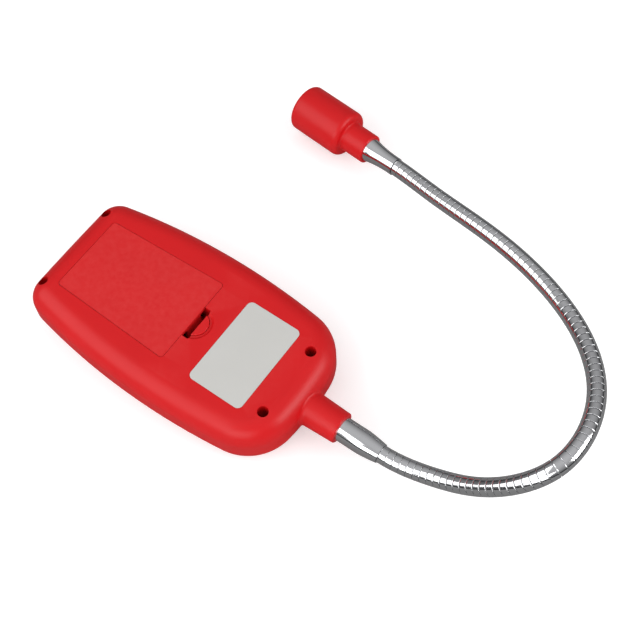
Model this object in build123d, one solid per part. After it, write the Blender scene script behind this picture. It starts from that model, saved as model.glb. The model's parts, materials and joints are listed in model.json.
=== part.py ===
from build123d import *
import math
import os

# Handheld combustible gas detector, lying face down. Millimetres.
# Origin: centre of the flat front face that it rests on. +X runs to the gooseneck,
# +Z goes up out of the back face.

# Case: plan outline of large arcs, rounded over at both faces
case_length = 140.8
case_half_width = 39.8
case_thickness = 27.0
widest_x = 4.0
side_radius = 344.0
nose_radius = 143.0
end_radius = 1500.0
shoulder_radius = 24.7
corner_radius = 10.9
back_edge_radius = 10.3
front_edge_radius = 10.0
wall = 2.0
parting_height = 6.0
parting_groove = 0.35
fit_gap = 0.1

# Tongue of the front case inside the rear case
tongue_inset = 2.0
tongue_height = 1.5
tongue_thickness = 0.9

# Finger scallops along both lower side walls
scallop_count = 5
scallop_pitch = 7.5
scallop_radius = 7.0
scallop_depth = 0.8
scallop_top = 16.0
scallop_centre_x = -35.0

# Rating label in its shallow recess
label_length = 28.6
label_width = 46.0
label_gap = 0.15
label_corner = 2.6
label_thickness = 0.25
label_recess = 0.15
label_x = 34.9

# Case screws and their wells
well_radius = 2.6
boss_wall = 1.6
nose_well = (58.0, 17.6)
end_well = (-65.6, 22.4)
screw_head_radius = 2.3
screw_head_height = 1.8
screw_shank_radius = 1.45
screw_length = 8.0
well_floor = 8.6
pilot_radius = 1.4

# Battery door: a tapered plate with two tongues and a U-shaped latch spring
door_end_x = -58.0
door_nose_x = 5.5
door_end_half = 20.1
door_nose_half = 22.6
door_corner = 1.6
door_thickness = 2.0
door_gap = 0.2
door_ledge = 1.5
hook_y = 11.0
hook_width = 7.0
hook_reach = 2.4
hook_thickness = 0.9
hook_root = 2.0
hook_swing = 1.9
latch_slot = 3.2
latch_slot_half = 8.6
latch_half = 6.0
latch_bulge = 4.2
latch_drop = 0.4
latch_thickness = 1.5
spring_half = 5.0
spring_leaf = 1.2
spring_depth = 7.0
scoop_reach = 2.1
scoop_depth = 1.0

# Battery bay for three AAA cells side by side
cell_radius = 5.25
cell_length = 44.5
cell_nub_radius = 1.9
cell_nub_length = 1.2
cell_count = 3
cell_pitch = 10.9
bay_wall = 1.5
contact_sheet = 0.4
contact_height = 8.6
spring_bulge = 3.5
button_bulge = 1.6
contact_gap = 0.05
rib_height = 3.0
rib_width = 0.7

# Main board on four standoffs of the front case
board_x0 = -55.0
board_x1 = 50.0
board_half = 25.5
board_corner = 4.0
board_bottom = 8.5
board_thickness = 1.6
standoffs = ((-49.0, 21.5), (44.0, 20.5))
standoff_radius = 2.9
board_screw_shank = 1.0
board_screw_head = 1.9
board_screw_head_height = 1.3
board_screw_length = 5.0

# Front face: fascia, keys, lamps and sounder
fascia_length = 104.0
fascia_half = 22.0
fascia_corner = 8.0
fascia_x = -1.0
fascia_recess = 0.8
fascia_gap = 0.15
power_key = (10.0, 0.0)
step_keys = ((-12.0, 11.0), (-12.0, -11.0))
key_radius = 4.5
key_gap = 0.2
key_recess = 0.35
key_flange = 1.0
key_flange_thickness = 0.9
key_stem_radius = 1.6
key_travel = 0.3
switch_size = 6.0
switch_height = 3.2
plunger_radius = 1.75
plunger_length = 1.4
lamp_count = 5
lamp_pitch = 7.0
lamp_x = 36.0
lamp_radius = 1.5
lamp_flange_radius = 1.9
lamp_length = 5.3
lamp_recess = 0.9
lamp_pin = 0.5
sounder_x = -37.0
sounder_radius = 6.0
sounder_height = 5.0
slot_count = 5
slot_pitch = 2.2
slot_width = 1.0
slot_length = 9.0

# Neck: collar, base ferrule, washer and nut on one axis
neck_height = 13.5
collar_radius = 7.5
collar_taper = 0.8
collar_shank_radius = 6.4
collar_root_fillet = 1.8
collar_root = 60.9
collar_end = 87.2
collar_edge = 0.6
ferrule_tail_radius = 5.0
ferrule_tail_start = 60.5
ferrule_radius = 5.75
ferrule_straight = 11.4
ferrule_taper = 9.3
ferrule_mouth_radius = 4.6
lead_bore = 2.5
bore_lap = 0.3
bore_step = 0.15
pad_radius = 9.5
pad_x = 66.9
washer_radius = 7.5
washer_thickness = 0.5
nut_flats = 13.0
nut_thickness = 4.0

# Gooseneck: conical rings on a route, cut into pieces that meet in ball joints
hose_radius = 4.25
hose_root_radius = 3.7
ring_pitch = 3.43
ring_lead = 0.8
joint_count = 11
ball_radius = 3.6
ball_gap = 0.05
joint_half_gap = 1.3
mouth_gap = 0.3
hose_plug_radius = 3.9
hose_plug_length = 7.0
hose_plug_lap = 0.4

# Sensor head, along its own axis from the mouth of the tip ferrule
head_mouth_x = 28.96
head_mouth_y = 128.06
head_azimuth = 173.25
head_tilt = 2.93
tip_ferrule_mouth = 4.6
tip_ferrule_mid = 4.85
tip_ferrule_radius = 6.2
tip_ferrule_length = 16.7
tip_ferrule_tail = 6.0
head_neck_radius = 7.55
head_neck_length = 13.55
head_root_fillet = 1.1
head_radius = 11.94
head_length = 30.1
head_edge_radius = 2.9
head_rim_radius = 1.9
chamber_radius = 9.4
chamber_step_radius = 8.2
seat_depth = 20.6
sensor_board_thickness = 1.6
sensor_radius = 4.6
sensor_flange_radius = 5.2
sensor_flange_height = 1.5
sensor_height = 9.0
sleeve_wall = 1.0
sleeve_length = 14.8
gauze_thickness = 0.4
guard_thickness = 1.8
guard_hole_radius = 1.3
guard_hole_circle = 5.4
guard_hole_count = 6

# Values worked out from the sizes above
nose_x = case_length / 2
back_z = case_thickness
door_bottom = back_z - door_thickness
ledge_top = door_bottom - fit_gap
ledge_bottom = ledge_top - door_ledge
cell_axis_z = ledge_top - 0.3 - cell_radius
bay_floor = cell_axis_z - cell_radius - fit_gap
bay_length = cell_length + spring_bulge + button_bulge + 2 * (contact_sheet + contact_gap)
bay_half = (cell_count - 1) / 2 * cell_pitch + cell_radius + 0.6
bay_x1 = door_nose_x - 7.0
bay_x0 = bay_x1 - bay_length
latch_x = door_nose_x + latch_slot + door_gap
latch_tip = latch_x + latch_bulge
latch_radius = (latch_half ** 2 + latch_bulge ** 2) / (2 * latch_bulge)
board_top = board_bottom + board_thickness
switch_bottom = board_bottom - switch_height
hose_start = collar_end + ferrule_straight + ferrule_taper
ferrule_base = collar_end
head_direction = Vector(1, 0, 0).rotate(Axis.Y, head_tilt).rotate(Axis.Z, head_azimuth)
head_touch = tip_ferrule_length + head_neck_length + head_length - head_rim_radius
head_mouth_z = (
    head_radius * math.cos(math.radians(head_tilt))
    + head_touch * math.sin(math.radians(head_tilt))
)
head_mouth = Vector(head_mouth_x, head_mouth_y, head_mouth_z)

# Points that the gooseneck passes, from the base ferrule to the sensor head
neck_points = [
    (hose_start, 0.0, neck_height),
    (133.6, 3.0, 17.0),
    (160.0, 8.7, 34.0),
    (176.7, 23.7, 50.0),
    (176.6, 52.4, 48.0),
    (159.7, 80.5, 40.0),
    (133.3, 99.5, 33.0),
    (95.85, 112.9, 27.5),
    (54.6, 122.5, 19.0),
    head_mouth,
]
neck_route = Spline(neck_points, tangents=[(1, 0, 0), head_direction], tangent_scalars=[1, 1])


def save(name, shape):
    """Write one node as parts/NAME.step."""
    export_step(shape, f"parts/{name}.step")


def slab(low, high):
    """A wide plate between two heights."""
    return Pos(0, 0, low) * Box(400, 400, high - low, align=(Align.CENTER, Align.CENTER, Align.MIN))


def column(x, y, radius, low, high):
    """An upright cylinder between two heights."""
    height = high - low
    return Pos(x, y, low) * Cylinder(radius, height, align=(Align.CENTER, Align.CENTER, Align.MIN))


def block(x0, x1, y0, y1, z0, z1):
    """A box between two corners."""
    centre = Pos((x0 + x1) / 2, (y0 + y1) / 2, (z0 + z1) / 2)
    return centre * Box(x1 - x0, y1 - y0, z1 - z0)


def turned_x(profile, height):
    """A revolve about a line along X at a height, from (x, radius) points and lines in XY."""
    return Pos(0, 0, height) * revolve(profile, Axis.X)


def mirrored_pairs(place):
    """The two places left and right of the centre line."""
    return ((place[0], place[1]), (place[0], -place[1]))


def case_outline(inset=0.0):
    """Plan outline of the case: four large arcs with rounded corners."""
    nose = Pos(nose_x - nose_radius, 0) * Rot(0, 0, 180) * Circle(nose_radius - inset)
    end = Pos(end_radius - nose_x, 0) * Circle(end_radius - inset)
    outline = nose & end
    for side in (1, -1):
        centre_y = side * (case_half_width - side_radius)
        outline = outline & (Pos(widest_x, centre_y) * Circle(side_radius - inset))
    corners = outline.vertices().sort_by(Axis.X)
    outline = fillet(corners[-2:], shoulder_radius - inset)
    corners = outline.vertices().filter_by(lambda v: v.X < widest_x).sort_by(Axis.X)
    return fillet(corners[:2], corner_radius - inset)


def case_form(inset=0.0):
    """The case as a solid, taken in by an inset on every side."""
    height = case_thickness - 2 * inset
    form = Pos(0, 0, inset) * extrude(case_outline(inset), height)
    back_edges = form.faces().sort_by(Axis.Z)[-1].edges()
    form = fillet(back_edges, back_edge_radius - inset)
    front_edges = form.faces().sort_by(Axis.Z)[0].edges()
    return fillet(front_edges, front_edge_radius - inset)


def side_y(x):
    """Half width of the case's long side at x."""
    return case_half_width - side_radius + math.sqrt(side_radius ** 2 - (x - widest_x) ** 2)


def finger_scallops():
    """Shallow hollows along both sides that fade out towards the back."""
    lean = math.degrees(math.atan2(scallop_depth, scallop_top))
    cuts = []
    for n in range(scallop_count):
        x = scallop_centre_x + (n - (scallop_count - 1) / 2) * scallop_pitch
        for side in (1, -1):
            y = side * (side_y(x) + scallop_radius)
            tool = Cylinder(scallop_radius, 3 * scallop_top)
            cuts.append(Pos(x, y, scallop_top) * Rot(side * lean, 0, 0) * tool)
    return cuts


def door_outline(grow=0.0):
    """Plan outline of the battery door, grown by a gap."""
    half_end = door_end_half + grow
    half_nose = door_nose_half + grow
    plate = make_face(
        Polyline(
            (door_end_x - grow, -half_end),
            (door_nose_x + grow, -half_nose),
            (door_nose_x + grow, half_nose),
            (door_end_x - grow, half_end),
            close=True,
        )
    )
    return fillet(plate.vertices(), door_corner + grow)


def latch_outline(grow=0.0):
    """D shape of the latch tab, flat side towards the door."""
    disc = Pos(latch_tip - latch_radius, 0) * Circle(latch_radius + grow)
    beyond = Pos(latch_x - grow, 0) * Rectangle(40, 40, align=(Align.MIN, Align.CENTER))
    return disc & beyond


def door_opening():
    """Everything that is cut from the rear case for the door and its latch."""
    plate = Pos(0, 0, ledge_top) * extrude(door_outline(door_gap), 10)
    slot = block(door_nose_x, latch_x + door_gap, -latch_slot_half, latch_slot_half, bay_floor, 30)
    tab = Pos(0, 0, bay_floor) * extrude(latch_outline(door_gap), 30)
    scoop_radius = latch_radius + scoop_reach
    scoop = Pos(latch_tip - latch_radius, 0, back_z - scoop_depth) * Cone(
        scoop_radius - scoop_depth,
        scoop_radius + scoop_depth,
        2 * scoop_depth,
        align=(Align.CENTER, Align.CENTER, Align.MIN),
    )
    scoop &= block(latch_x + door_gap, latch_x + 30, -30, 30, 0, 40)
    hooks = []
    for side in (1, -1):
        y = side * hook_y
        half = hook_width / 2 + 2 * door_gap
        x0 = door_end_x - hook_reach - 2 * door_gap
        x1 = door_end_x + hook_root + hook_swing
        hooks.append(block(x0, x1, y - half, y + half, ledge_bottom - 1, door_bottom))
    bay = block(bay_x0, bay_x1, -bay_half, bay_half, bay_floor, 30)
    spring = block(bay_x1 + bay_wall, latch_tip, -latch_slot_half, latch_slot_half, bay_floor, ledge_top)
    return [plate, slot, tab, scoop, bay, spring] + hooks


def rear_case(shell):
    """Deep rear moulding: battery bay, latch pocket, screw wells and neck pad."""
    body = shell & slab(parting_height, 40)
    inside = case_form(wall / 2)
    body += (Pos(0, 0, ledge_bottom) * extrude(door_outline(1.8), wall + door_ledge)) & inside
    pocket_end = latch_tip + door_gap + bay_wall
    pocket_half = latch_slot_half + bay_wall
    bay_outer = block(
        bay_x0 - bay_wall, bay_x1 + bay_wall, -bay_half - bay_wall, bay_half + bay_wall,
        bay_floor - bay_wall, door_bottom,
    )
    pocket = block(bay_x1, pocket_end, -pocket_half, pocket_half, bay_floor - bay_wall, door_bottom)
    body += [bay_outer, pocket]
    for place in mirrored_pairs(nose_well) + mirrored_pairs(end_well):
        boss = column(*place, well_radius + boss_wall, parting_height, back_z)
        body += boss & inside
    pad = Rot(0, 90, 0) * Cylinder(pad_radius, 20, align=(Align.CENTER, Align.CENTER, Align.MIN))
    body += (Pos(pad_x, 0, neck_height) * pad) & inside & slab(parting_height, 40)
    body -= door_opening()
    for place in mirrored_pairs(nose_well) + mirrored_pairs(end_well):
        body -= column(*place, well_radius, well_floor, 40)
        body -= column(*place, screw_shank_radius + fit_gap, 0, 40)
    body -= collar_bore()
    label = RectangleRounded(label_length + 2 * label_gap, label_width + 2 * label_gap, label_corner)
    body -= Pos(label_x, 0, back_z - label_recess) * extrude(label, 1)
    for n in range(cell_count - 1):
        y = (n - (cell_count - 2) / 2) * cell_pitch
        rib_top = bay_floor + rib_height
        body += block(bay_x0 - 0.5, bay_x1 + 0.5, y - rib_width / 2, y + rib_width / 2,
                      bay_floor - 0.5, rib_top)
    rebate_end = tongue_inset + tongue_thickness + 2 * fit_gap
    return body - rim_band(tongue_inset - fit_gap, rebate_end, 0, tongue_height + fit_gap)


def rim_band(outer_inset, inner_inset, low, high):
    """An upright band that follows the case's outline, from the parting plane."""
    band = case_outline(outer_inset) - case_outline(inner_inset)
    return Pos(0, 0, parting_height + low) * extrude(band, high - low)


def collar_bore():
    """Bore in the nose for the collar's shank."""
    return Pos(nose_x, 0, neck_height) * Rot(0, 90, 0) * Cylinder(collar_shank_radius + fit_gap, 30)


def front_case(shell):
    """Shallow front moulding: fascia recess, screw bosses, standoffs and sounder ring."""
    body = shell & slab(0, parting_height)
    body += rim_band(tongue_inset, tongue_inset + tongue_thickness, -1, tongue_height)
    body -= collar_bore()
    inside = case_form(wall / 2)
    for place in mirrored_pairs(nose_well) + mirrored_pairs(end_well):
        body += column(*place, screw_shank_radius + boss_wall, wall / 2, parting_height) & inside
    for place in standoffs:
        for x, y in mirrored_pairs(place):
            body += column(x, y, standoff_radius, wall / 2, board_bottom)
    ring_top = board_bottom - sounder_height + 1.5
    ring = column(sounder_x, 0, sounder_radius + 1.3, wall / 2, ring_top)
    body += ring - column(sounder_x, 0, sounder_radius + 0.2, 0, 20)
    panel_length = fascia_length + 2 * fascia_gap
    panel_width = 2 * (fascia_half + fascia_gap)
    panel = RectangleRounded(panel_length, panel_width, fascia_corner)
    body -= Pos(fascia_x, 0, 0) * extrude(panel, fascia_recess)
    body -= face_cuts(wall + 0.1)
    for place in mirrored_pairs(nose_well) + mirrored_pairs(end_well):
        body -= column(*place, pilot_radius, wall, 20)
    for place in standoffs:
        for x, y in mirrored_pairs(place):
            body -= column(x, y, board_screw_shank, 3.5, 20)
    return body


def face_cuts(depth):
    """Holes through the front face for the keys, the lamps and the sound."""
    cuts = []
    for x, y in (power_key,) + step_keys:
        cuts.append(column(x, y, key_radius + key_gap, -1, depth))
    for x, y in lamp_places():
        cuts.append(column(x, y, lamp_radius + 0.15, -1, depth))
    for n in range(slot_count):
        x = sounder_x + (n - (slot_count - 1) / 2) * slot_pitch
        slot = SlotOverall(slot_length, slot_width, rotation=90)
        cuts.append(Pos(x, 0, -1) * extrude(slot, depth + 1))
    return cuts


def lamp_places():
    """Centres of the row of lamps across the face."""
    return [(lamp_x, (n - (lamp_count - 1) / 2) * lamp_pitch) for n in range(lamp_count)]


def battery_door():
    """Door plate, hooks and U-shaped latch spring in one moulding."""
    door = Pos(0, 0, door_bottom) * extrude(door_outline(), door_thickness)
    for side in (1, -1):
        y = side * hook_y
        half = hook_width / 2
        hook_top = door_bottom - door_gap / 2
        hook_bottom = hook_top - hook_thickness
        x0 = door_end_x - hook_reach
        x1 = door_end_x + hook_root
        door += block(x0, x1, y - half, y + half, hook_bottom, hook_top)
        door += block(door_end_x + door_gap, x1, y - half, y + half, hook_bottom, back_z - 1)
    bend_x = door_nose_x + (latch_x - door_nose_x) / 2
    bend_radius = (latch_x - door_nose_x) / 2
    bend_z = door_bottom - spring_depth + bend_radius
    bend = Circle(bend_radius + spring_leaf) - Circle(bend_radius)
    bend &= Rectangle(30, 30, align=(Align.CENTER, Align.MAX))
    profile = Pos(bend_x, bend_z) * bend
    leg_in = Rectangle(spring_leaf, door_bottom + 1 - bend_z, align=(Align.MAX, Align.MIN))
    leg_out = Rectangle(spring_leaf, back_z - latch_drop - 0.5 - bend_z, align=(Align.MIN, Align.MIN))
    profile += Pos(door_nose_x, bend_z) * leg_in
    profile += Pos(latch_x, bend_z) * leg_out
    spring = extrude(Plane.XZ * profile, spring_half, both=True)
    tab = Pos(0, 0, back_z - latch_drop - latch_thickness) * extrude(latch_outline(), latch_thickness)
    top_edges = tab.faces().sort_by(Axis.Z)[-1].edges().filter_by(GeomType.CIRCLE)
    tab = fillet(top_edges, 0.5)
    return door + [spring, tab]


def aaa_cell(index):
    """One cell with its raised positive end; neighbours lie head to tail."""
    y = (index - (cell_count - 1) / 2) * cell_pitch
    towards_end = index % 2 == 0
    body_length = cell_length - cell_nub_length
    can = Cylinder(cell_radius, body_length, align=(Align.CENTER, Align.CENTER, Align.MIN))
    can = chamfer(can.edges(), 0.3)
    nub = Cylinder(cell_nub_radius, cell_nub_length, align=(Align.CENTER, Align.CENTER, Align.MIN))
    cell = can + Pos(0, 0, body_length) * nub
    if towards_end:
        start = bay_x0 + contact_sheet + button_bulge + contact_gap + cell_length
        return Pos(start, y, cell_axis_z) * Rot(0, -90, 0) * cell
    start = bay_x1 - contact_sheet - button_bulge - contact_gap - cell_length
    return Pos(start, y, cell_axis_z) * Rot(0, 90, 0) * cell


def battery_contact(indexes, at_end):
    """Sheet contact at one end of the bay, with a leaf or a button for each cell."""
    low = min(indexes) - (cell_count - 1) / 2
    high = max(indexes) - (cell_count - 1) / 2
    half = cell_radius - 0.9
    direction = 1 if at_end else -1
    face_x = bay_x0 if at_end else bay_x1
    z0 = bay_floor + 0.1
    x_inner = face_x + direction * contact_sheet
    sheet = block(min(face_x, x_inner), max(face_x, x_inner), low * cell_pitch - half,
                  high * cell_pitch + half, z0 + 0.9, z0 + 0.9 + contact_height)
    contact = sheet - ribs_clearance()
    for index in indexes:
        y = (index - (cell_count - 1) / 2) * cell_pitch
        positive = (index % 2 == 0) == at_end
        if positive:
            dimple = Cone(2.6, 1.6, button_bulge, align=(Align.CENTER, Align.CENTER, Align.MIN))
            contact += Pos(x_inner, y, cell_axis_z) * Rot(0, 90 * direction, 0) * dimple
        else:
            outer = ThreePointArc((0, -3.6), (spring_bulge, 0), (0, 3.6))
            inner = ThreePointArc((0, -3.2), (spring_bulge - 0.4, 0), (0, 3.2))
            low_foot = Line((0, -3.6), (0, -3.2))
            high_foot = Line((0, 3.2), (0, 3.6))
            strip = make_face(outer + high_foot + inner + low_foot)
            leaf = extrude(Plane.XZ * strip, 2.2, both=True)
            if not at_end:
                leaf = mirror(leaf, Plane.YZ)
            contact += Pos(x_inner, y, cell_axis_z) * leaf
    return contact


def ribs_clearance():
    """Space round the low ribs between the cells."""
    cuts = []
    for n in range(cell_count - 1):
        y = (n - (cell_count - 2) / 2) * cell_pitch
        cuts.append(block(bay_x0 - 1, bay_x1 + 1, y - rib_width / 2 - 0.1, y + rib_width / 2 + 0.1,
                          bay_floor - 1, bay_floor + rib_height + 0.1))
    return cuts


def pan_screw(x, y, seat, head_radius_, head_height_, shank_radius_, length_):
    """Pan head screw pointing down, with a cross recess."""
    head = column(x, y, head_radius_, seat, seat + head_height_)
    head = fillet(head.edges().sort_by(Axis.Z)[-1], head_height_ * 0.45)
    shank = column(x, y, shank_radius_, seat - length_, seat + 0.1)
    screw = head + shank
    for turn in (0, 90):
        screw -= Pos(x, y, seat + head_height_) * Rot(0, 0, turn) * Box(
            1.3 * head_radius_, 0.3 * head_radius_, head_height_
        )
    return screw


def main_board():
    """Printed board, round cornered, on four standoffs."""
    length = board_x1 - board_x0
    outline = RectangleRounded(length, 2 * board_half, board_corner)
    board = Pos((board_x0 + board_x1) / 2, 0, board_bottom) * extrude(outline, board_thickness)
    for place in standoffs:
        for x, y in mirrored_pairs(place):
            board -= column(x, y, board_screw_shank + fit_gap, 0, 20)
    return board


def fascia():
    """Thin panel in the recess of the front face."""
    outline = RectangleRounded(fascia_length, 2 * fascia_half, fascia_corner)
    panel = Pos(fascia_x, 0, 0) * extrude(outline, fascia_recess)
    return panel - face_cuts(fascia_recess)


def key_cap(x, y):
    """Push key: cap through the face, flange behind it and stem to the switch."""
    flange_low = wall + 0.15
    cap = column(x, y, key_radius, key_recess, flange_low + key_flange_thickness)
    cap = fillet(cap.edges().sort_by(Axis.Z)[0], 0.5)
    flange = column(x, y, key_radius + key_flange, flange_low, flange_low + key_flange_thickness)
    stem = column(x, y, key_stem_radius, flange_low, switch_bottom - plunger_length + 0.4)
    return cap + [flange, stem]


def tact_switch(x, y):
    """Square switch body under the board, with a pocket for its plunger."""
    half = switch_size / 2
    body = block(x - half, x + half, y - half, y + half, switch_bottom, board_bottom)
    return body - column(x, y, plunger_radius + 0.08, 0, switch_bottom + 0.9)


def switch_plunger(x, y):
    """Plunger between the key's stem and the switch."""
    low = switch_bottom - plunger_length + 0.4
    return column(x, y, plunger_radius, low, low + plunger_length)


def level_lamp(x, y):
    """Round lamp with a domed tip, a flange and two pins up to the board."""
    tip = lamp_recess + lamp_radius
    base = lamp_recess + lamp_length
    lamp = column(x, y, lamp_radius, tip, base) + Pos(x, y, tip) * Sphere(lamp_radius)
    lamp += column(x, y, lamp_flange_radius, base - 1, base)
    for side in (1, -1):
        pin_y = y + side * 0.85
        half = lamp_pin / 2
        lamp += block(x - half, x + half, pin_y - half, pin_y + half, base - 0.2, board_bottom)
    return lamp


def sounder():
    """Round buzzer under the board with a sound hole."""
    body = column(sounder_x, 0, sounder_radius, board_bottom - sounder_height, board_bottom)
    body = fillet(body.edges().sort_by(Axis.Z)[0], 0.6)
    return body - column(sounder_x, 0, 1.0, 0, board_bottom - sounder_height + 1.5)


def neck_collar():
    """Red sleeve on the nose: its root is filleted into the case and follows it."""
    reach = collar_end - collar_root
    slope = collar_taper / (collar_end - pad_x)
    sleeve = Cone(
        collar_radius + slope * reach,
        collar_radius,
        reach,
        align=(Align.CENTER, Align.CENTER, Align.MIN),
    )
    tip = sleeve.edges().filter_by(GeomType.CIRCLE).sort_by(Axis.Z)[-1]
    sleeve = fillet(tip, collar_edge)
    joined = case_form() + Pos(collar_root, 0, neck_height) * Rot(0, 90, 0) * sleeve
    joined = fillet(joined.edges().filter_by(on_collar_root), collar_root_fillet)
    outside = joined - case_form(-0.02)
    shank = Pos(pad_x, 0, neck_height) * Rot(0, 90, 0) * Cylinder(
        collar_shank_radius, nose_x + 1 - pad_x, align=(Align.CENTER, Align.CENTER, Align.MIN)
    )
    bore = Pos(nose_x, 0, neck_height) * Rot(0, 90, 0) * Cylinder(ferrule_tail_radius + 0.05, 80)
    return outside + shank - bore


def on_collar_root(edge):
    """Whether an edge is where the collar's cone meets the case."""
    slope = collar_taper / (collar_end - pad_x)
    for share in (0.0, 0.25, 0.5, 0.75, 1.0):
        spot = edge.position_at(share)
        radius = math.hypot(spot.Y, spot.Z - neck_height)
        if spot.X > collar_end - 3:
            return False
        if abs(radius - collar_radius - slope * (collar_end - spot.X)) > 0.12:
            return False
    return True


def base_ferrule():
    """Turned chrome ferrule: tail through the collar, shoulder, straight and taper."""
    shoulder = ferrule_base + ferrule_straight
    outline = Polyline(
        (ferrule_tail_start, lead_bore),
        (ferrule_tail_start, ferrule_tail_radius),
        (ferrule_base, ferrule_tail_radius),
        (ferrule_base, ferrule_radius),
        (shoulder, ferrule_radius),
    )
    taper = ThreePointArc(
        (shoulder, ferrule_radius),
        (shoulder + 0.45 * ferrule_taper, ferrule_radius - 0.36 * (ferrule_radius - ferrule_mouth_radius)),
        (hose_start, ferrule_mouth_radius),
    )
    plug_end = hose_start - hose_plug_length - fit_gap
    inner = Polyline(
        (hose_start, ferrule_mouth_radius),
        (hose_start, hose_plug_radius + 0.05),
        (plug_end, hose_plug_radius + 0.05),
        (plug_end, lead_bore),
        (ferrule_tail_start, lead_bore),
    )
    return turned_x(make_face(outline + taper + inner), neck_height)


def neck_nut():
    """Hexagon nut on the ferrule's tail inside the case."""
    hexagon = RegularPolygon(nut_flats / 2, 6, major_radius=False)
    nut = extrude(hexagon, nut_thickness) - Cylinder(ferrule_tail_radius + 0.05, 20)
    return Pos(pad_x - washer_thickness - nut_thickness, 0, neck_height) * Rot(0, 90, 0) * nut


def neck_washer():
    """Plain washer between the nut and the case."""
    disc = Cylinder(washer_radius, washer_thickness, align=(Align.CENTER, Align.CENTER, Align.MIN))
    disc -= Cylinder(ferrule_tail_radius + 0.05, 20)
    return Pos(pad_x - washer_thickness, 0, neck_height) * Rot(0, 90, 0) * disc


def along(start, end):
    """Plane at a point whose normal looks at another point."""
    return Plane(origin=start, z_dir=(end - start).normalized())


def cone_ring(start, end):
    """One ring of the gooseneck, narrow at its start, sunk into the ring before it."""
    length = (end - start).length
    slope = (hose_radius - hose_root_radius) / length
    ring = Pos(0, 0, -ring_lead) * Cone(
        hose_root_radius - slope * ring_lead,
        hose_radius,
        length + ring_lead,
        align=(Align.CENTER, Align.CENTER, Align.MIN),
    )
    return along(start, end) * ring


def neck_joint(index):
    """Centre and direction of one ball joint, evenly spaced on the route."""
    share = (index + 0.5) / joint_count
    return neck_route.position_at(share), neck_route.tangent_at(share), share


def drill(start, end):
    """The hollow of one ring, a cone that widens to a step at the next ring."""
    length = (end - start).length
    hole = Cone(lead_bore - bore_step, lead_bore + bore_step, length + 2 * bore_lap)
    middle = (start + end) * 0.5
    return Plane(origin=middle, z_dir=(end - start).normalized()) * hole


def neck_piece(index):
    """One length of gooseneck: ball at its start, rings, socket at its end, hollow throughout."""
    total = neck_route.length
    gap = joint_half_gap / total
    first = index == 0
    last = index == joint_count
    share0 = 0.0 if first else neck_joint(index - 1)[2] + gap
    share1 = 1.0 - mouth_gap / total if last else neck_joint(index)[2] - gap
    rings = max(1, round((share1 - share0) * total / ring_pitch))
    stations = [neck_route.position_at(share0 + (share1 - share0) * n / rings) for n in range(rings + 1)]
    piece = cone_ring(stations[0], stations[1])
    for n in range(1, rings):
        piece += cone_ring(stations[n], stations[n + 1])
    plug = Cylinder(
        hose_plug_radius, hose_plug_length + hose_plug_lap, align=(Align.CENTER, Align.CENTER, Align.MIN)
    )
    if first:
        mouth = stations[0] - Vector(hose_plug_length, 0, 0)
        piece += Plane(origin=stations[0] + Vector(hose_plug_lap, 0, 0), z_dir=(-1, 0, 0)) * plug
    else:
        centre, direction, _ = neck_joint(index - 1)
        mouth = centre - direction * ball_radius
        piece += Plane(origin=centre, z_dir=direction) * Sphere(ball_radius)
    if last:
        piece += Plane(origin=stations[-1] - head_direction * hose_plug_lap, z_dir=head_direction) * plug
        piece -= drill(stations[-1], stations[-1] + head_direction * hose_plug_length)
    else:
        centre, direction, _ = neck_joint(index)
        piece -= Plane(origin=centre, z_dir=direction) * Sphere(ball_radius + ball_gap)
    piece -= drill(mouth, stations[0])
    for n in range(rings):
        piece -= drill(stations[n], stations[n + 1])
    return piece


def on_head(shape):
    """Place a shape that is drawn along +Z from the mouth of the tip ferrule."""
    return Plane(origin=head_mouth, z_dir=head_direction) * shape


def turned_z(profile):
    """A revolve about Z of a profile drawn as (radius, height)."""
    return revolve(Plane.XZ * profile, Axis.Z)


def disc_z(radius, low, high):
    """A cylinder on the head's axis between two heights."""
    return Pos(0, 0, low) * Cylinder(radius, high - low, align=(Align.CENTER, Align.CENTER, Align.MIN))


def tip_ferrule():
    """Trumpet-shaped chrome ferrule between the gooseneck and the head."""
    end = tip_ferrule_length
    tail = end + tip_ferrule_tail
    bore_end = hose_plug_length + fit_gap
    outer = ThreePointArc((tip_ferrule_mouth, 0), (tip_ferrule_mid, end / 2), (tip_ferrule_radius, end))
    rest = Polyline(
        (tip_ferrule_radius, end),
        (tip_ferrule_radius, tail),
        (lead_bore, tail),
        (lead_bore, bore_end),
        (hose_plug_radius + 0.03, bore_end),
        (hose_plug_radius + 0.03, 0),
        (tip_ferrule_mouth, 0),
    )
    return on_head(turned_z(make_face(outer + rest)))


def head_housing():
    """Red sensor head: small neck, rounded shoulder, open cup with a round rim."""
    neck = tip_ferrule_length
    shoulder = neck + head_neck_length
    tip = shoulder + head_length
    form = disc_z(head_neck_radius, neck, shoulder + 1) + disc_z(head_radius, shoulder, tip)
    circles = form.edges().filter_by(GeomType.CIRCLE)
    root = circles.filter_by(lambda e: abs(e.center().Z - shoulder) < 0.01)
    form = fillet(root.filter_by(lambda e: e.radius > head_neck_radius + 0.1), head_edge_radius)
    circles = form.edges().filter_by(GeomType.CIRCLE)
    inner = circles.filter_by(
        lambda e: abs(e.center().Z - shoulder) < 0.01 and abs(e.radius - head_neck_radius) < 0.01
    )
    form = fillet(inner, head_root_fillet)
    form = fillet(form.edges().filter_by(GeomType.CIRCLE).sort_by(Axis.Z)[-1], head_rim_radius)
    form = fillet(form.edges().filter_by(GeomType.CIRCLE).sort_by(Axis.Z)[0], 0.5)
    seat = tip - seat_depth
    form -= disc_z(tip_ferrule_radius + 0.05, neck - 1, neck + tip_ferrule_tail + fit_gap)
    form -= disc_z(lead_bore, neck, tip)
    form -= disc_z(chamber_step_radius, shoulder + 5, tip)
    form -= disc_z(chamber_radius, seat, tip + 1)
    return on_head(form)


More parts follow.
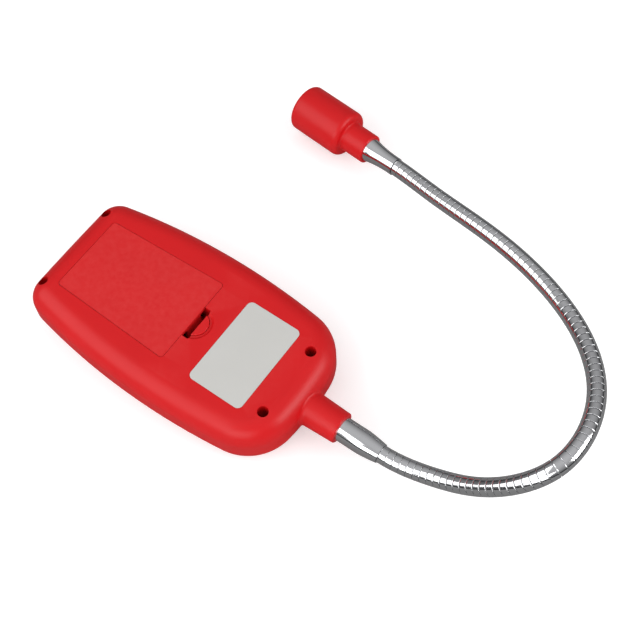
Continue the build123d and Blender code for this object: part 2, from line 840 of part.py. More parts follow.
def head_stack():
    """The pieces inside the head, from the sensor board to the guard at the tip."""
    tip = tip_ferrule_length + head_neck_length + head_length
    seat = tip - seat_depth
    slip = chamber_radius - 0.05
    board_end = seat + sensor_board_thickness
    sleeve_end = board_end + sleeve_length
    gauze_end = sleeve_end + gauze_thickness
    guard_end = gauze_end + guard_thickness
    board = disc_z(slip, seat, board_end)
    sensor = disc_z(sensor_flange_radius, board_end, board_end + sensor_flange_height)
    can = disc_z(sensor_radius, board_end, board_end + sensor_height)
    can = fillet(can.edges().sort_by(Axis.Z)[-1], 0.6)
    sleeve = disc_z(slip, board_end, sleeve_end) - disc_z(slip - sleeve_wall, board_end, sleeve_end)
    gauze = disc_z(slip, sleeve_end, gauze_end)
    guard = disc_z(slip, gauze_end, guard_end)
    guard -= disc_z(guard_hole_radius, gauze_end, guard_end)
    for n in range(guard_hole_count):
        turn = Rot(0, 0, 360 / guard_hole_count * n)
        guard -= turn * Pos(guard_hole_circle, 0, 0) * disc_z(guard_hole_radius, gauze_end, guard_end)
    return {
        "sensor_board": on_head(board),
        "gas_sensor": on_head(sensor + can),
        "sensor_sleeve": on_head(sleeve),
        "gauze_disc": on_head(gauze),
        "head_guard": on_head(guard),
    }


def build_case():
    """Both case halves, the door, the label, the fascia and the screws."""
    outer = case_form()
    outer -= finger_scallops()
    groove = slab(parting_height - parting_groove / 2, parting_height + parting_groove / 2)
    outer -= groove - case_form(parting_groove)
    shell = outer - case_form(wall)
    save("rear_case", rear_case(shell))
    save("front_case", front_case(shell))
    save("battery_door", battery_door())
    label = RectangleRounded(label_length, label_width, label_corner)
    save("rating_label", Pos(label_x, 0, back_z - label_recess) * extrude(label, label_thickness))
    save("fascia", fascia())
    screws = [
        pan_screw(*place, well_floor, screw_head_radius, screw_head_height, screw_shank_radius - 0.1,
                  screw_length - 2)
        for place in mirrored_pairs(nose_well) + mirrored_pairs(end_well)
    ]
    save("case_screws", Compound(children=screws))


def build_inside():
    """Cells, contacts, board, switches, keys, lamps and sounder."""
    for index in range(cell_count):
        save(f"battery_cell_{index + 1}", aaa_cell(index))
    save("positive_contact", battery_contact([0], True))
    save("end_bridge_contact", battery_contact([1, 2], True))
    save("nose_bridge_contact", battery_contact([0, 1], False))
    save("negative_contact", battery_contact([2], False))
    save("main_board", main_board())
    chip = block(22, 30, -4, 4, board_top, board_top + 1.2)
    save("main_chip", chip)
    plug = block(44.5, 49.5, -6, 6, board_top, board_top + 5)
    save("sensor_connector", plug - block(45.5, 51, -5, 5, board_top + 1, board_top + 4))
    board_screws = [
        pan_screw(x, y, board_top, board_screw_head, board_screw_head_height, board_screw_shank - 0.05,
                  board_screw_length)
        for place in standoffs
        for x, y in mirrored_pairs(place)
    ]
    save("board_screws", Compound(children=board_screws))
    places = {"power": power_key, "plus": step_keys[0], "minus": step_keys[1]}
    for name, (x, y) in places.items():
        save(f"{name}_key", key_cap(x, y))
        save(f"{name}_plunger", switch_plunger(x, y))
        save(f"{name}_switch", tact_switch(x, y))
    for index, (x, y) in enumerate(lamp_places()):
        save(f"level_lamp_{index + 1}", level_lamp(x, y))
    save("sounder", sounder())


def build_neck():
    """Collar, ferrules, nut, washer, gooseneck pieces and sensor head."""
    save("neck_collar", neck_collar())
    save("base_ferrule", base_ferrule())
    save("neck_washer", neck_washer())
    save("neck_nut", neck_nut())
    for index in range(joint_count + 1):
        save(f"gooseneck_{index + 1:02d}", neck_piece(index))
    save("tip_ferrule", tip_ferrule())
    save("head_housing", head_housing())
    for name, shape in head_stack().items():
        save(name, shape)


build_case()
build_inside()
build_neck()

print("gooseneck length", round(neck_route.length, 2))
for number in range(joint_count):
    centre, direction, _ = neck_joint(number)
    print("joint", number + 1, *[round(v, 5) for v in (*centre, *direction)])
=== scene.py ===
"""Looks of the handheld combustible gas detector: finishes, gooseneck, studio and camera."""

import json
import logging
import math
from collections.abc import Callable
from dataclasses import dataclass, field
from enum import Enum

import bmesh
import bpy
import numpy as np
from mathutils import Matrix, Vector


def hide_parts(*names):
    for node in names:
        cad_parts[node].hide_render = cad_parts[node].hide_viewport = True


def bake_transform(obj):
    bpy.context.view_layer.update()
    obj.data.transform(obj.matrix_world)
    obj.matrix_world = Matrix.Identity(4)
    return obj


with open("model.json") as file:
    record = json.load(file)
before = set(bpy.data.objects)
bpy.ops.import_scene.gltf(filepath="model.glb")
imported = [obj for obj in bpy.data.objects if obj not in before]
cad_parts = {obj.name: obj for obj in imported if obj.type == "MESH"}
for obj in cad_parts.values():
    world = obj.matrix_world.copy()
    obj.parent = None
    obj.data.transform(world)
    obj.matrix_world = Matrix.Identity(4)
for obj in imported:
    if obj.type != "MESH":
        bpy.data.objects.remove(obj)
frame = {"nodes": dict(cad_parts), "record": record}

LOG = logging.getLogger("gas_detector")
MM = 0.001
DISPLAY_GAMMA = 2.2
DISPLAY_WHITE = 255
Colour = tuple[float, float, float]


class Wear(Enum):
    """How much a finish has been handled."""

    FRESH = 0.0
    LIGHT = 0.35


def srgb(red: int, green: int, blue: int) -> Colour:
    """A linear colour from three display values of 0 to 255."""
    return tuple((v / DISPLAY_WHITE) ** DISPLAY_GAMMA for v in (red, green, blue))


class NodeGroups:
    """The shader groups that several finishes share, each built once.

    The scales count features per metre.
    """

    GLOSS_SCALE = 55.0
    MOTTLE_SCALE = 38.0
    MOTTLE_RANGE = (0.3, 0.7)
    SCUFF_SCALE = 420.0
    EDGE_RANGE = (0.53, 0.62)

    def __init__(self) -> None:
        """Build the groups."""
        self.grain = self._grain()
        self.handling = self._handling()

    def _new(self, name: str, inputs: dict[str, tuple[str, float | Colour]],
             outputs: dict[str, str]) -> bpy.types.NodeTree:
        """Make an empty group with named sockets.

        Args:
            name: Name of the group.
            inputs: Socket name to its kind and default value.
            outputs: Socket name to its kind.

        Returns:
            The node tree, with its group input and output nodes.
        """
        tree = bpy.data.node_groups.new(name, "ShaderNodeTree")
        for label, (kind, value) in inputs.items():
            socket = tree.interface.new_socket(name=label, in_out="INPUT", socket_type=kind)
            if kind == "NodeSocketColor":
                socket.default_value = (*value, 1.0)
            elif kind == "NodeSocketFloat":
                socket.default_value = value
        for label, kind in outputs.items():
            tree.interface.new_socket(name=label, in_out="OUTPUT", socket_type=kind)
        tree.nodes.new("NodeGroupInput").name = "In"
        tree.nodes.new("NodeGroupOutput").name = "Out"
        return tree

    def _grain(self) -> bpy.types.NodeTree:
        """Fine moulded grain: a height, and a roughness that varies with it.

        Returns:
            The group, with Height and Roughness outputs.
        """
        tree = self._new(
            "moulded_grain",
            {"Grain Size": ("NodeSocketFloat", 2600.0), "Roughness": ("NodeSocketFloat", 0.4),
             "Spread": ("NodeSocketFloat", 0.08)},
            {"Height": "NodeSocketFloat", "Roughness": "NodeSocketFloat"},
        )
        nodes, links = tree.nodes, tree.links
        place = nodes.new("ShaderNodeTexCoord")
        fine = nodes.new("ShaderNodeTexNoise")
        fine.inputs["Detail"].default_value = 3.0
        broad = nodes.new("ShaderNodeTexNoise")
        broad.inputs["Scale"].default_value = self.GLOSS_SCALE
        broad.inputs["Detail"].default_value = 2.0
        spread = nodes.new("ShaderNodeMath")
        spread.operation = "MULTIPLY_ADD"
        centre = nodes.new("ShaderNodeMath")
        centre.operation = "SUBTRACT"
        centre.inputs[1].default_value = 0.5
        links.new(place.outputs["Object"], fine.inputs["Vector"])
        links.new(place.outputs["Object"], broad.inputs["Vector"])
        links.new(nodes["In"].outputs["Grain Size"], fine.inputs["Scale"])
        links.new(broad.outputs["Fac"], centre.inputs[0])
        links.new(centre.outputs[0], spread.inputs[0])
        links.new(nodes["In"].outputs["Spread"], spread.inputs[1])
        links.new(nodes["In"].outputs["Roughness"], spread.inputs[2])
        links.new(fine.outputs["Fac"], nodes["Out"].inputs["Height"])
        links.new(spread.outputs[0], nodes["Out"].inputs["Roughness"])
        return tree

    def _handling(self) -> bpy.types.NodeTree:
        """Colour of a handled surface: broad mottling, and a paler line on its edges.

        Returns:
            The group, with a Colour output.
        """
        tree = self._new(
            "handled_colour",
            {"Colour": ("NodeSocketColor", (0.5, 0.5, 0.5)),
             "Worn Colour": ("NodeSocketColor", (0.7, 0.7, 0.7)),
             "Wear": ("NodeSocketFloat", 0.3), "Mottle": ("NodeSocketFloat", 0.06)},
            {"Colour": "NodeSocketColor"},
        )
        nodes, links = tree.nodes, tree.links
        place = nodes.new("ShaderNodeTexCoord")
        broad = nodes.new("ShaderNodeTexNoise")
        broad.inputs["Scale"].default_value = self.MOTTLE_SCALE
        broad.inputs["Detail"].default_value = 4.0
        links.new(place.outputs["Object"], broad.inputs["Vector"])
        value = nodes.new("ShaderNodeMapRange")
        value.inputs["From Min"].default_value = self.MOTTLE_RANGE[0]
        value.inputs["From Max"].default_value = self.MOTTLE_RANGE[1]
        value.inputs["To Max"].default_value = 1.0
        lower = nodes.new("ShaderNodeMath")
        lower.operation = "SUBTRACT"
        lower.inputs[0].default_value = 1.0
        links.new(nodes["In"].outputs["Mottle"], lower.inputs[1])
        links.new(lower.outputs[0], value.inputs["To Min"])
        links.new(broad.outputs["Fac"], value.inputs["Value"])
        tint = nodes.new("ShaderNodeHueSaturation")
        links.new(value.outputs["Result"], tint.inputs["Value"])
        links.new(nodes["In"].outputs["Colour"], tint.inputs["Color"])
        edge = nodes.new("ShaderNodeNewGeometry")
        ramp = nodes.new("ShaderNodeMapRange")
        ramp.inputs["From Min"].default_value = self.EDGE_RANGE[0]
        ramp.inputs["From Max"].default_value = self.EDGE_RANGE[1]
        links.new(edge.outputs["Pointiness"], ramp.inputs["Value"])
        scuff = nodes.new("ShaderNodeTexNoise")
        scuff.inputs["Scale"].default_value = self.SCUFF_SCALE
        scuff.inputs["Detail"].default_value = 3.0
        links.new(place.outputs["Object"], scuff.inputs["Vector"])
        broken = nodes.new("ShaderNodeMath")
        broken.operation = "MULTIPLY"
        amount = nodes.new("ShaderNodeMath")
        amount.operation = "MULTIPLY"
        amount.use_clamp = True
        links.new(ramp.outputs["Result"], broken.inputs[0])
        links.new(scuff.outputs["Fac"], broken.inputs[1])
        links.new(broken.outputs[0], amount.inputs[0])
        links.new(nodes["In"].outputs["Wear"], amount.inputs[1])
        blend = nodes.new("ShaderNodeMix")
        blend.data_type = "RGBA"
        links.new(amount.outputs[0], blend.inputs["Factor"])
        links.new(tint.outputs["Color"], blend.inputs[6])
        links.new(nodes["In"].outputs["Worn Colour"], blend.inputs[7])
        links.new(blend.outputs[2], nodes["Out"].inputs["Colour"])
        return tree


@dataclass(frozen=True)
class Finish:
    """One procedural finish: colour, gloss, grain and wear."""

    name: str
    colour: Colour
    worn: Colour
    roughness: float = 0.4
    spread: float = 0.08
    metallic: float = 0.0
    grain_size: float = 2600.0
    grain_depth: float = 0.08
    grain_distance: float = 0.00004
    mottle: float = 0.05
    wear: Wear = Wear.LIGHT
    coat: float = 0.0
    coat_roughness: float = 0.12
    specular: float = 0.5
    anisotropic: float = 0.0

    def build(self, groups: NodeGroups) -> bpy.types.Material:
        """Make the material.

        Args:
            groups: The shared shader groups.

        Returns:
            The material, ready to assign.
        """
        material = bpy.data.materials.new(self.name)
        material.use_nodes = True
        nodes, links = material.node_tree.nodes, material.node_tree.links
        shader = nodes["Principled BSDF"]
        shader.inputs["Metallic"].default_value = self.metallic
        shader.inputs["Specular IOR Level"].default_value = self.specular
        shader.inputs["Coat Weight"].default_value = self.coat
        shader.inputs["Coat Roughness"].default_value = self.coat_roughness
        shader.inputs["Anisotropic"].default_value = self.anisotropic
        grain = nodes.new("ShaderNodeGroup")
        grain.node_tree = groups.grain
        grain.inputs["Grain Size"].default_value = self.grain_size
        grain.inputs["Roughness"].default_value = self.roughness
        grain.inputs["Spread"].default_value = self.spread
        handled = nodes.new("ShaderNodeGroup")
        handled.node_tree = groups.handling
        handled.inputs["Colour"].default_value = (*self.colour, 1.0)
        handled.inputs["Worn Colour"].default_value = (*self.worn, 1.0)
        handled.inputs["Wear"].default_value = self.wear.value
        handled.inputs["Mottle"].default_value = self.mottle
        bump = nodes.new("ShaderNodeBump")
        bump.inputs["Strength"].default_value = self.grain_depth
        bump.inputs["Distance"].default_value = self.grain_distance
        links.new(grain.outputs["Height"], bump.inputs["Height"])
        links.new(grain.outputs["Roughness"], shader.inputs["Roughness"])
        links.new(handled.outputs["Colour"], shader.inputs["Base Color"])
        links.new(bump.outputs["Normal"], shader.inputs["Normal"])
        return material


RED_SHELL = Finish("red_shell", srgb(205, 24, 28), srgb(222, 84, 82), roughness=0.37,
                   spread=0.1, grain_depth=0.22, mottle=0.05, wear=Wear.LIGHT, specular=0.32)
LABEL_FILM = Finish("label_film", srgb(196, 195, 191), srgb(220, 219, 215), roughness=0.55,
                    grain_size=900.0, grain_depth=0.12, mottle=0.025, wear=Wear.FRESH)
FASCIA_FILM = Finish("fascia_film", srgb(46, 48, 52), srgb(96, 98, 100), roughness=0.42,
                     grain_size=1800.0, grain_depth=0.2, mottle=0.08)
KEY_RUBBER = Finish("key_rubber", srgb(120, 123, 126), srgb(160, 162, 164), roughness=0.72,
                    grain_size=3200.0, grain_depth=0.3, mottle=0.08, specular=0.3)
LAMP_LENS = Finish("lamp_lens", srgb(226, 216, 190), srgb(240, 235, 220), roughness=0.16,
                   grain_depth=0.02, mottle=0.03, wear=Wear.FRESH, coat=0.4)
NECK_CHROME = Finish("neck_chrome", (0.83, 0.835, 0.845), (0.9, 0.9, 0.9), roughness=0.1,
                     spread=0.07, metallic=1.0, grain_size=700.0, grain_depth=0.03,
                     mottle=0.04, wear=Wear.FRESH)
PLAIN_STEEL = Finish("plain_steel", (0.5, 0.5, 0.51), (0.7, 0.7, 0.7), roughness=0.34,
                     spread=0.14, metallic=1.0, grain_size=1200.0, grain_depth=0.12,
                     mottle=0.1, anisotropic=0.3)
CONTACT_NICKEL = Finish("contact_nickel", (0.62, 0.6, 0.56), (0.75, 0.74, 0.7), roughness=0.26,
                        spread=0.1, metallic=1.0, grain_size=1500.0, grain_depth=0.06)
CELL_JACKET = Finish("cell_jacket", srgb(52, 56, 62), srgb(120, 122, 126), roughness=0.22,
                     grain_size=500.0, grain_depth=0.05, coat=0.5)
BOARD_LAMINATE = Finish("board_laminate", srgb(22, 92, 54), srgb(150, 160, 120), roughness=0.3,
                        grain_size=260.0, grain_depth=0.35, mottle=0.2, coat=0.3)
PART_BLACK = Finish("part_black", srgb(34, 34, 36), srgb(80, 80, 82), roughness=0.55,
                    grain_size=3000.0, grain_depth=0.25, mottle=0.1)
PART_WHITE = Finish("part_white", srgb(224, 220, 206), srgb(240, 238, 230), roughness=0.45,
                    grain_size=2400.0, grain_depth=0.12)


@dataclass
class CadPieces:
    """The carried-over nodes: smooth shading and a finish for each."""

    groups: NodeGroups
    finishes: tuple[Finish, ...] = (
        RED_SHELL, LABEL_FILM, FASCIA_FILM, KEY_RUBBER, LAMP_LENS, NECK_CHROME, PLAIN_STEEL,
        CONTACT_NICKEL, CELL_JACKET, BOARD_LAMINATE, PART_BLACK, PART_WHITE,
    )
    crease: float = math.radians(32)
    weld_reach: float = 1e-6
    made: dict[str, bpy.types.Material] = field(default_factory=dict)

    def dress(self) -> None:
        """Give every node the finish of its slot and smooth shading."""
        for finish in self.finishes:
            self.made[finish.name] = finish.build(self.groups)
        slots = {s["node"]: s["material_slot"] for s in frame["record"]["subparts"]}
        for name, node in frame["nodes"].items():
            node.data.materials.clear()
            node.data.materials.append(self.made[slots[name]])
            self._smooth(node)
            LOG.info("dressed %s with %s", name, slots[name])

    def _smooth(self, node: bpy.types.Object) -> None:
        """Shade a node smoothly up to its creases, without moving a point.

        Args:
            node: The object of the carried-over node.
        """
        for polygon in node.data.polygons:
            polygon.use_smooth = True
        weld = node.modifiers.new("join", "WELD")
        weld.merge_threshold = self.weld_reach
        split = node.modifiers.new("creases", "EDGE_SPLIT")
        split.split_angle = self.crease


@dataclass
class Route:
    """Centre line of the gooseneck, in millimetres, through the points that the hose passes."""

    points: tuple[tuple[float, float, float], ...] = (
        (107.9, 0.0, 13.5),
        (133.6, 3.0, 17.0),
        (160.0, 8.7, 34.0),
        (176.7, 23.7, 50.0),
        (176.6, 52.4, 48.0),
        (159.7, 80.5, 40.0),
        (133.3, 99.5, 33.0),
        (95.85, 112.9, 27.5),
        (54.6, 122.5, 19.0),
        (28.96, 128.06, 14.9),
    )
    azimuth: float = 173.25
    tilt: float = 2.93
    samples: int = 200
    probe: float = 0.2

    def __post_init__(self) -> None:
        """Solve the smooth curve through the points with its two end directions."""
        knots = np.array(self.points)
        chord = np.linalg.norm(np.diff(knots, axis=0), axis=1)
        self.knots = knots
        self.chord = chord
        count = len(knots)
        matrix = np.eye(count)
        right = np.zeros((count, 3))
        right[0] = (1.0, 0.0, 0.0)
        right[-1] = self.head_direction()
        for n in range(1, count - 1):
            matrix[n, n - 1] = chord[n]
            matrix[n, n] = 2 * (chord[n - 1] + chord[n])
            matrix[n, n + 1] = chord[n - 1]
            right[n] = 3 * (
                chord[n] / chord[n - 1] * (knots[n] - knots[n - 1])
                + chord[n - 1] / chord[n] * (knots[n + 1] - knots[n])
            )
        self.slopes = np.linalg.solve(matrix, right)
        steps = np.linspace(0, 1, self.samples)
        fine = np.concatenate([self._span(n, steps) for n in range(count - 1)])
        step = np.linalg.norm(np.diff(fine, axis=0), axis=1)
        self.fine = fine
        self.travel = np.concatenate([[0.0], np.cumsum(step)])

    def head_direction(self) -> np.ndarray:
        """Direction of the head's axis."""
        azimuth, tilt = math.radians(self.azimuth), math.radians(self.tilt)
        return np.array([
            math.cos(azimuth) * math.cos(tilt), math.sin(azimuth) * math.cos(tilt), -math.sin(tilt),
        ])

    def _span(self, n: int, u: np.ndarray) -> np.ndarray:
        """Points of one span of the curve.

        Args:
            n: Number of the span.
            u: Places along it, 0 to 1.

        Returns:
            One row per point.
        """
        h = self.chord[n]
        u = u[:, None]
        return (
            (2 * u ** 3 - 3 * u ** 2 + 1) * self.knots[n]
            + (u ** 3 - 2 * u ** 2 + u) * h * self.slopes[n]
            + (3 * u ** 2 - 2 * u ** 3) * self.knots[n + 1]
            + (u ** 3 - u ** 2) * h * self.slopes[n + 1]
        )

    @property
    def length(self) -> float:
        """Length of the gooseneck."""
        return float(self.travel[-1])

    def at(self, distance: float) -> tuple[Vector, Vector]:
        """Point and direction at a distance along the gooseneck.

        Args:
            distance: Millimetres from the base ferrule.

        Returns:
            The point and the unit tangent.
        """
        point = self._point(distance)
        tangent = self._point(distance + self.probe) - self._point(distance - self.probe)
        return Vector(point), Vector(tangent).normalized()

    def _point(self, distance: float) -> np.ndarray:
        """A point of the centre line, by distance."""
        distance = min(max(distance, 0.0), self.length)
        return np.array([np.interp(distance, self.travel, self.fine[:, k]) for k in range(3)])


@dataclass
class Gooseneck:
    """Interlocked chrome hose, one piece over each joint.

    Sizes are in millimetres. The lip lists each step from a band to its seam: its length along the
    axis and the radius that it ends at.
    """

    finish: bpy.types.Material
    route: Route = field(default_factory=Route)
    joint_count: int = 11
    rings: int = 86
    radius: float = 4.15
    segments: int = 48
    lip: tuple[tuple[float, float], ...] = (
        (0.3, 4.15), (0.025, 4.135), (0.02, 4.1), (0.025, 3.62), (0.1, 3.6),
    )
    bend_reach: float = 11.0
    end_gap: float = 0.25
    same_height: float = 1e-8
    merge_reach: float = 1e-5
    smooth_angle: float = math.radians(35)

    def build(self) -> None:
        """Model one ring, copy it along the route and share the rings among the joints."""
        pitch = (self.route.length - self.end_gap) / self.rings
        spacing = self.route.length / self.joint_count
        owner: dict[int, list[bpy.types.Object]] = {}
        pattern = self._ring(pitch)
        for number in range(self.rings):
            middle = (number + 0.5) * pitch
            joint = min(int(middle / spacing), self.joint_count - 1)
            owner.setdefault(joint, []).append(self._placed(pattern, middle))
        bpy.data.objects.remove(pattern)
        for joint, rings in owner.items():
            self._join(joint, rings, spacing)

    def _ring(self, pitch: float) -> bpy.types.Object:
        """Model one band of the hose about the Z axis, centred on the origin.

        Args:
            pitch: Length of one band in millimetres.

        Returns:
            The band as an object.
        """
        deselect()
        lips = sum(step for step, _ in self.lip)
        half = (pitch / 2 - lips) * MM
        bpy.ops.mesh.primitive_cylinder_add(
            vertices=self.segments, radius=self.radius * MM, depth=2 * half, end_fill_type="NOTHING",
        )
        band = bpy.context.object
        band.name = "hose_band"
        bpy.ops.object.mode_set(mode="EDIT")
        for side in (1, -1):
            height, radius = half * side, self.radius
            select_edges(band, lambda e, z=height: self._at_height(e, z))
            for step, lower in self.lip:
                move = {"value": (0.0, 0.0, step * MM * side)}
                bpy.ops.mesh.extrude_edges_move(TRANSFORM_OT_translate=move)
                share = lower / radius
                bpy.ops.transform.resize(value=(share, share, 1.0))
                radius = lower
        bpy.ops.mesh.select_all(action="SELECT")
        bpy.ops.mesh.normals_make_consistent(inside=False)
        bpy.ops.object.mode_set(mode="OBJECT")
        return band

    def _at_height(self, edge: bmesh.types.BMEdge, height: float) -> bool:
        """Whether both ends of an edge lie at a height in metres."""
        return all(abs(v.co.z - height) < self.same_height for v in edge.verts)

    def _placed(self, pattern: bpy.types.Object, middle: float) -> bpy.types.Object:
        """Copy the band to its place, each end square to the route there.

        Args:
            pattern: The band about the Z axis.
            middle: Its distance along the route in millimetres.

        Returns:
            The copy, with its place in its mesh.
        """
        band = pattern.copy()
        band.data = pattern.data.copy()
        bpy.context.collection.objects.link(band)
        for vertex in band.data.vertices:
            centre, tangent = self.route.at(middle + vertex.co.z / MM)
            side = Vector((0, 0, 1)).cross(tangent).normalized()
            lift = tangent.cross(side)
            vertex.co = centre * MM + side * vertex.co.x + lift * vertex.co.y
        return band

    def _join(self, joint: int, rings: list[bpy.types.Object], spacing: float) -> None:
        """Join the rings over one joint.

        Args:
            joint: Number of the joint, from 0 at the base.
            rings: The placed bands.
            spacing: Distance between joints in millimetres.
        """
        deselect()
        for ring in rings:
            ring.select_set(True)
        bpy.context.view_layer.objects.active = rings[0]
        bpy.ops.object.join()
        hose = bpy.context.object
        hose.name = f"hose_{joint + 1:02d}"
        bpy.ops.object.mode_set(mode="EDIT")
        bpy.ops.mesh.select_all(action="SELECT")
        bpy.ops.mesh.remove_doubles(threshold=self.merge_reach)
        select_edges(hose, lambda e: e.is_boundary)
        bpy.ops.mesh.edge_face_add()
        bpy.ops.mesh.select_all(action="SELECT")
        bpy.ops.mesh.normals_make_consistent(inside=False)
        bpy.ops.object.mode_set(mode="OBJECT")
        hose.data.materials.clear()
        hose.data.materials.append(self.finish)
        bpy.ops.object.shade_smooth_by_angle(angle=self.smooth_angle)
        centre = (joint + 0.5) * spacing
        start, _ = self.route.at(centre - self.bend_reach)
        end, _ = self.route.at(centre + self.bend_reach)
        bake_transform(hose)
        nodes = [f"gooseneck_{joint + 1:02d}"]
        if joint == self.joint_count - 1:
            nodes.append(f"gooseneck_{joint + 2:02d}")
        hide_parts(*nodes)
        LOG.info("hose piece %s with %d bands", hose.name, len(rings))


def deselect() -> None:
    """Deselect every object."""
    bpy.ops.object.select_all(action="DESELECT")


def select_edges(piece: bpy.types.Object, test: Callable[[bmesh.types.BMEdge], bool]) -> None:
    """Select the edges of a piece in edit mode that pass a test.

    Args:
        piece: The object in edit mode.
        test: Called with each edge.
    """
    bpy.ops.mesh.select_mode(type="EDGE")
    mesh = bmesh.from_edit_mesh(piece.data)
    for edge in mesh.edges:
        edge.select_set(False)
    for edge in mesh.edges:
        if test(edge):
            edge.select_set(True)
    bmesh.update_edit_mesh(piece.data)


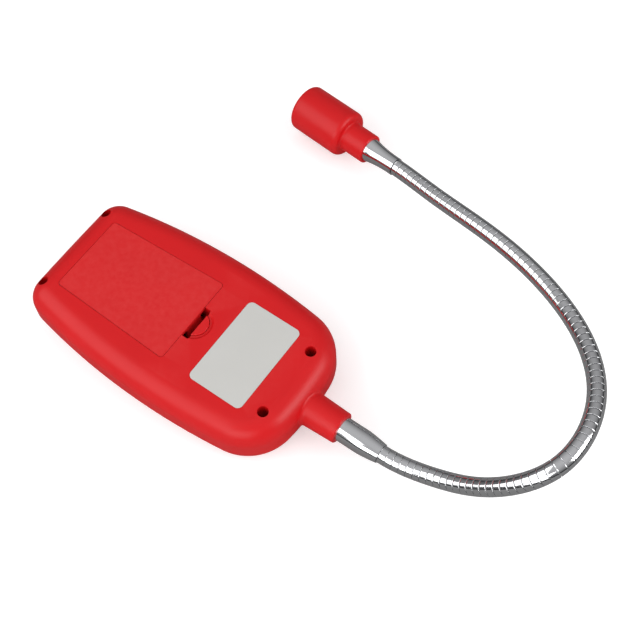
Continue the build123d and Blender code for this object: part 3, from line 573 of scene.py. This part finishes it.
@dataclass
class Studio:
    """Pale floor, soft lights, the world and the camera."""

    camera_place: tuple[float, float, float] = (215.79, -166.94, 509.06)
    camera_right: tuple[float, float, float] = (0.81165, 0.583167, -0.033784)
    camera_down: tuple[float, float, float] = (0.501749, -0.725611, -0.470889)
    camera_view: tuple[float, float, float] = (-0.299121, 0.365246, -0.881546)
    focal_pixels: float = 1221.58
    frame_pixels: float = 640.0
    target: tuple[float, float, float] = (0.05, 0.04, 0.0)
    sensor_width: float = 36.0
    near_clip: float = 0.01
    floor_size: float = 1.4
    floor_drop: float = 0.0002
    floor_roughness: float = 0.9
    floor_specular: float = 0.1
    floor_grey: float = 0.8
    # Grey of the floor as seen in reflections: painted shade for the floor lying in the object's
    # shadow.
    reflected_floor_painted_shade: float = 0.2
    floor_lift: float = 0.4
    fill_strength: float = 0.42
    gradient: tuple[tuple[float, Colour], ...] = (
        (0.52, (0.04, 0.04, 0.042)),
        (0.72, (0.27, 0.27, 0.275)),
        (0.99, (0.52, 0.52, 0.53)),
    )

    def build(self) -> None:
        """Make the floor, the lights, the world and the camera."""
        self._floor()
        self._world()
        self._light("front_softbox", (0.35, -1.1, 0.6), 1.1, 0.7, 6.0)
        self._light("side_softbox", (1.15, 0.45, 0.65), 0.9, 0.7, 8.5)
        self._light("left_softbox", (-0.6, -0.68, 0.76), 1.2, 1.1, 6.8)
        overhead = self._light("overhead_silk", (0.05, 0.05, 1.6), 1.6, 1.6, 4.0)
        overhead.visible_glossy = False
        self._camera()

    def _floor(self) -> None:
        """A wide pale floor that shows white and keeps the object's shadow; in reflections it shows
        a darker grey, painted shade for the floor in the object's shadow.
        """
        deselect()
        bpy.ops.mesh.primitive_plane_add(size=self.floor_size, location=(0.0, 0.0, -self.floor_drop))
        floor = bpy.context.object
        floor.name = "studio_floor"
        material = bpy.data.materials.new("floor_paper")
        material.use_nodes = True
        nodes, links = material.node_tree.nodes, material.node_tree.links
        shader = nodes["Principled BSDF"]
        shader.inputs["Roughness"].default_value = self.floor_roughness
        shader.inputs["Specular IOR Level"].default_value = self.floor_specular
        rays = nodes.new("ShaderNodeLightPath")
        paper_and_painted_shade = nodes.new("ShaderNodeMix")
        paper_and_painted_shade.data_type = "RGBA"
        paper_and_painted_shade.inputs[6].default_value = (*[self.floor_grey] * 3, 1.0)
        # Glossy rays see the floor darker: painted shade standing in for the floor in the object's
        # shadow.
        paper_and_painted_shade.inputs[7].default_value = (*[self.reflected_floor_painted_shade] * 3, 1.0)
        links.new(rays.outputs["Is Glossy Ray"], paper_and_painted_shade.inputs["Factor"])
        links.new(paper_and_painted_shade.outputs[2], shader.inputs["Base Color"])
        lift = nodes.new("ShaderNodeMath")
        lift.operation = "MULTIPLY"
        lift.inputs[1].default_value = self.floor_lift
        links.new(rays.outputs["Is Camera Ray"], lift.inputs[0])
        shader.inputs["Emission Color"].default_value = (1.0, 1.0, 1.0, 1.0)
        links.new(lift.outputs[0], shader.inputs["Emission Strength"])
        floor.data.materials.append(material)

    def _world(self) -> None:
        """White to the camera, and a soft studio gradient to everything else."""
        world = bpy.data.worlds.new("studio_world")
        bpy.context.scene.world = world
        world.use_nodes = True
        nodes, links = world.node_tree.nodes, world.node_tree.links
        nodes.clear()
        place = nodes.new("ShaderNodeTexCoord")
        split = nodes.new("ShaderNodeSeparateXYZ")
        links.new(place.outputs["Generated"], split.inputs[0])
        ramp = nodes.new("ShaderNodeValToRGB")
        low, middle, high = self.gradient
        stops = ramp.color_ramp.elements
        stops[0].position = low[0]
        stops[0].color = (*low[1], 1.0)
        stops[1].position = high[0]
        stops[1].color = (*high[1], 1.0)
        stops.new(middle[0]).color = (*middle[1], 1.0)
        height = nodes.new("ShaderNodeMapRange")
        height.inputs["From Min"].default_value = -1.0
        links.new(split.outputs["Z"], height.inputs["Value"])
        links.new(height.outputs["Result"], ramp.inputs["Fac"])
        studio = nodes.new("ShaderNodeBackground")
        links.new(ramp.outputs["Color"], studio.inputs["Color"])
        plain = nodes.new("ShaderNodeBackground")
        plain.inputs["Color"].default_value = (0.95, 0.95, 0.96, 1.0)
        plain.inputs["Strength"].default_value = self.fill_strength
        white = nodes.new("ShaderNodeBackground")
        white.inputs["Color"].default_value = (1.0, 1.0, 1.0, 1.0)
        rays = nodes.new("ShaderNodeLightPath")
        gloss = nodes.new("ShaderNodeMixShader")
        links.new(rays.outputs["Is Glossy Ray"], gloss.inputs[0])
        links.new(plain.outputs[0], gloss.inputs[1])
        links.new(studio.outputs[0], gloss.inputs[2])
        camera = nodes.new("ShaderNodeMixShader")
        links.new(rays.outputs["Is Camera Ray"], camera.inputs[0])
        links.new(gloss.outputs[0], camera.inputs[1])
        links.new(white.outputs[0], camera.inputs[2])
        out = nodes.new("ShaderNodeOutputWorld")
        links.new(camera.outputs[0], out.inputs["Surface"])

    def _light(self, name: str, place: tuple[float, float, float], width: float,
               height: float, power: float) -> bpy.types.Object:
        """Add a soft light that looks at the object.

        Args:
            name: Name of the light.
            place: Its place in metres.
            width: Its width in metres.
            height: Its height in metres.
            power: Its power in watts.

        Returns:
            The light's object.
        """
        lamp = bpy.data.lights.new(name, "AREA")
        lamp.shape = "RECTANGLE"
        lamp.size = width
        lamp.size_y = height
        lamp.energy = power
        holder = bpy.data.objects.new(name, lamp)
        bpy.context.collection.objects.link(holder)
        look = Vector(self.target) - Vector(place)
        holder.location = place
        holder.rotation_euler = look.to_track_quat("-Z", "Y").to_euler()
        return holder

    def _camera(self) -> None:
        """Set the camera at the photograph's viewing angle."""
        data = bpy.data.cameras.new("view_camera")
        data.sensor_width = self.sensor_width
        data.lens = self.focal_pixels / self.frame_pixels * data.sensor_width
        data.clip_start = self.near_clip
        camera = bpy.data.objects.new("view_camera", data)
        bpy.context.collection.objects.link(camera)
        right, down, view = map(Vector, (self.camera_right, self.camera_down, self.camera_view))
        turn = Matrix((right, -down, -view)).transposed().to_4x4()
        camera.matrix_world = Matrix.Translation(Vector(self.camera_place) * MM) @ turn
        bpy.context.scene.camera = camera


def main() -> None:
    """Build the dressed detector and its studio."""
    logging.basicConfig(level=logging.INFO, format="%(message)s")
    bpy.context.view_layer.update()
    bpy.context.scene.view_settings.view_transform = "Standard"
    pieces = CadPieces(NodeGroups())
    pieces.dress()
    Gooseneck(pieces.made["neck_chrome"]).build()
    Studio().build()


if __name__ == "__main__":
    main()
